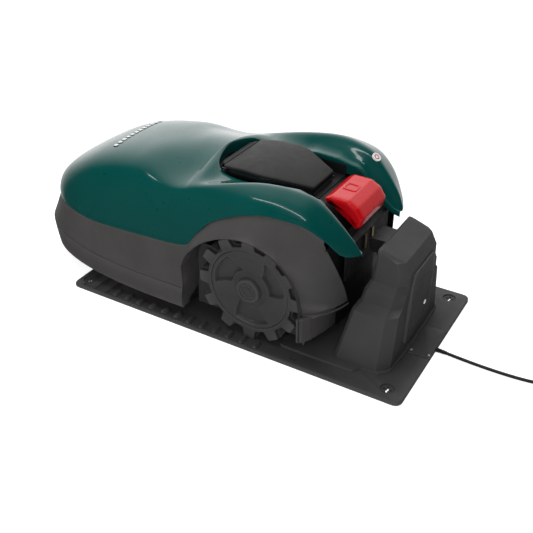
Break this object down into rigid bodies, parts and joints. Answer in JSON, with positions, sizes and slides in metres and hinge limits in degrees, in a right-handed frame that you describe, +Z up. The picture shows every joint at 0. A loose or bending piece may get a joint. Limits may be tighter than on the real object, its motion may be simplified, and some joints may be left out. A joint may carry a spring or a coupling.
{
  "type": "robotic lawn mower",
  "caption": "Low domed robotic lawn mower with lugged drive wheels, a hinged control lid and a large stop button, standing in a flat charging dock with a tower.",
  "frame": {"origin": "floor level under the middle of the bounding box, measured without the lead", "axes": "+Z up, +X from the mower's nose towards the dock's tower, +Y towards the mower's right side"},
  "size_m": [1.1632, 0.37, 0.3182],
  "materials": {
    "cover_green": "deep green moulded plastic under a glossy coat",
    "shell_grey": "dark grey moulded plastic with a fine satin grain",
    "bay_black": "near-black moulded plastic",
    "lid_grey": "grey satin plastic",
    "lid_black": "gloss black plastic",
    "stop_red": "bright red gloss plastic",
    "key_green": "green key cap",
    "key_grey": "light grey key cap",
    "knob_orange": "grey knob",
    "screen": "tinted display window",
    "trim_chrome": "polished trim",
    "badge_white": "white disc",
    "steel": "zinc-plated steel",
    "blade_steel": "ground blade steel",
    "contact_metal": "plated contact metal",
    "motor_metal": "cast motor can",
    "board_green": "lacquered circuit board",
    "battery_black": "wrapped battery pack",
    "tyre_rubber": "hard rubber tread",
    "wheel_grey": "dark grey moulded wheel",
    "dock_grey": "dark grey moulded plastic with a fine grain",
    "seal_rubber": "black rubber",
    "lens": "clear lens",
    "lead_black": "black cable sheath"
  },
  "bodies": {
    "dock": {"dock_plate": "dock_grey", "dock_left_tread": "dock_grey", "dock_right_tread": "dock_grey", "dock_tower": "dock_grey", "dock_rear_cover": "dock_grey", "dock_contact_housing": "bay_black", "dock_status_lens": "lens", "dock_circuit_board": "board_green", "dock_cable_cover": "dock_grey", "dock_screws": "steel", "dock_lead_gland": "seal_rubber", "dock_lead_run": "lead_black", "dock_lead_coil": "lead_black", "dock_lead_plug": "lead_black"},
    "contact_carriage": {"dock_contact_carriage": "bay_black", "dock_contact_strips": "contact_metal"},
    "chassis": {"chassis_tub": "bay_black", "battery_pack": "battery_black", "battery_cover": "bay_black", "battery_cover_screws": "steel", "main_board": "board_green", "left_gearbox": "motor_metal", "right_gearbox": "motor_metal", "left_drive_motor": "motor_metal", "right_drive_motor": "motor_metal", "caster_socket": "steel", "shell_posts": "seal_rubber", "deck_guides": "steel"},
    "shell": {"top_cover": "cover_green", "lower_skirt": "shell_grey", "control_bay": "bay_black", "stop_switch": "battery_black", "charging_contacts": "contact_metal", "display_window": "screen", "bay_screws": "steel", "name_trim": "trim_chrome", "side_badge": "badge_white"},
    "lid": {"lid_panel": "lid_grey", "lid_frame": "lid_black", "lid_pins": "steel"},
    "stop": {"stop_button": "stop_red"},
    "go_key": {"go_button": "key_green"},
    "home_key": {"home_button": "key_grey"},
    "knob": {"height_knob": "knob_orange"},
    "deck": {"blade_motor": "motor_metal", "deck_guard": "shell_grey"},
    "cutter": {"blade": "blade_steel", "blade_cap": "bay_black"},
    "left_wheel": {"left_tyre": "tyre_rubber", "left_wheel_disc": "wheel_grey", "left_hub_cap": "wheel_grey"},
    "right_wheel": {"right_tyre": "tyre_rubber", "right_wheel_disc": "wheel_grey", "right_hub_cap": "wheel_grey"},
    "caster": {"caster_fork": "bay_black", "caster_axle": "steel"},
    "caster_roller": {"caster_wheel": "tyre_rubber"}
  },
  "joints": [
    {"name": "drive_off", "type": "slide", "parent": "dock", "child": "chassis", "axis": [-1, 0, 0], "range_m": [0, 0.35]},
    {"name": "contact_press", "type": "slide", "parent": "dock", "child": "contact_carriage", "axis": [1, 0, 0], "range_m": [0, 0.005], "stiffness_N_per_m": 800},
    {"name": "bump", "type": "slide", "parent": "chassis", "child": "shell", "axis": [1, 0, 0], "range_m": [0, 0.005], "stiffness_N_per_m": 4000},
    {"name": "lid_hinge", "type": "hinge", "parent": "shell", "child": "lid", "pos_m": [0.02, 0, 0.293], "axis": [0, -1, 0], "range_deg": [0, 80]},
    {"name": "stop_press", "type": "slide", "parent": "shell", "child": "stop", "axis": [0, 0, -1], "range_m": [0, 0.004], "stiffness_N_per_m": 800, "springref_m": -0.012},
    {"name": "go_press", "type": "slide", "parent": "shell", "child": "go_key", "axis": [0, 0, -1], "range_m": [0, 0.0015], "stiffness_N_per_m": 500, "springref_m": -0.002},
    {"name": "home_press", "type": "slide", "parent": "shell", "child": "home_key", "axis": [0, 0, -1], "range_m": [0, 0.0015], "stiffness_N_per_m": 500, "springref_m": -0.002},
    {"name": "cutting_height", "type": "slide", "parent": "chassis", "child": "deck", "axis": [0, 0, -1], "range_m": [0, 0.034]},
    {"name": "knob_turn", "type": "hinge", "parent": "shell", "child": "knob", "pos_m": [0.05, 0, 0.27], "axis": [0, 0, -1], "range_deg": [0, 270]},
    {"name": "blade_spin", "type": "hinge", "parent": "deck", "child": "cutter", "pos_m": [-0.08, 0, 0.066], "axis": [0, 0, 1], "continuous": true},
    {"name": "left_wheel_spin", "type": "hinge", "parent": "chassis", "child": "left_wheel", "pos_m": [0.1225, -0.13, 0.1143], "axis": [0, 1, 0], "continuous": true},
    {"name": "right_wheel_spin", "type": "hinge", "parent": "chassis", "child": "right_wheel", "pos_m": [0.1225, 0.13, 0.1143], "axis": [0, 1, 0], "continuous": true},
    {"name": "caster_swivel", "type": "hinge", "parent": "chassis", "child": "caster", "pos_m": [-0.245, 0, 0.1], "axis": [0, 0, 1], "continuous": true},
    {"name": "caster_roll", "type": "hinge", "parent": "caster", "child": "caster_roller", "pos_m": [-0.221, 0, 0.0483], "axis": [0, 1, 0], "continuous": true}
  ],
  "couplings": [
    {"joint": "knob_turn", "follows": "cutting_height", "rad_per_m": 138.59}
  ]
}
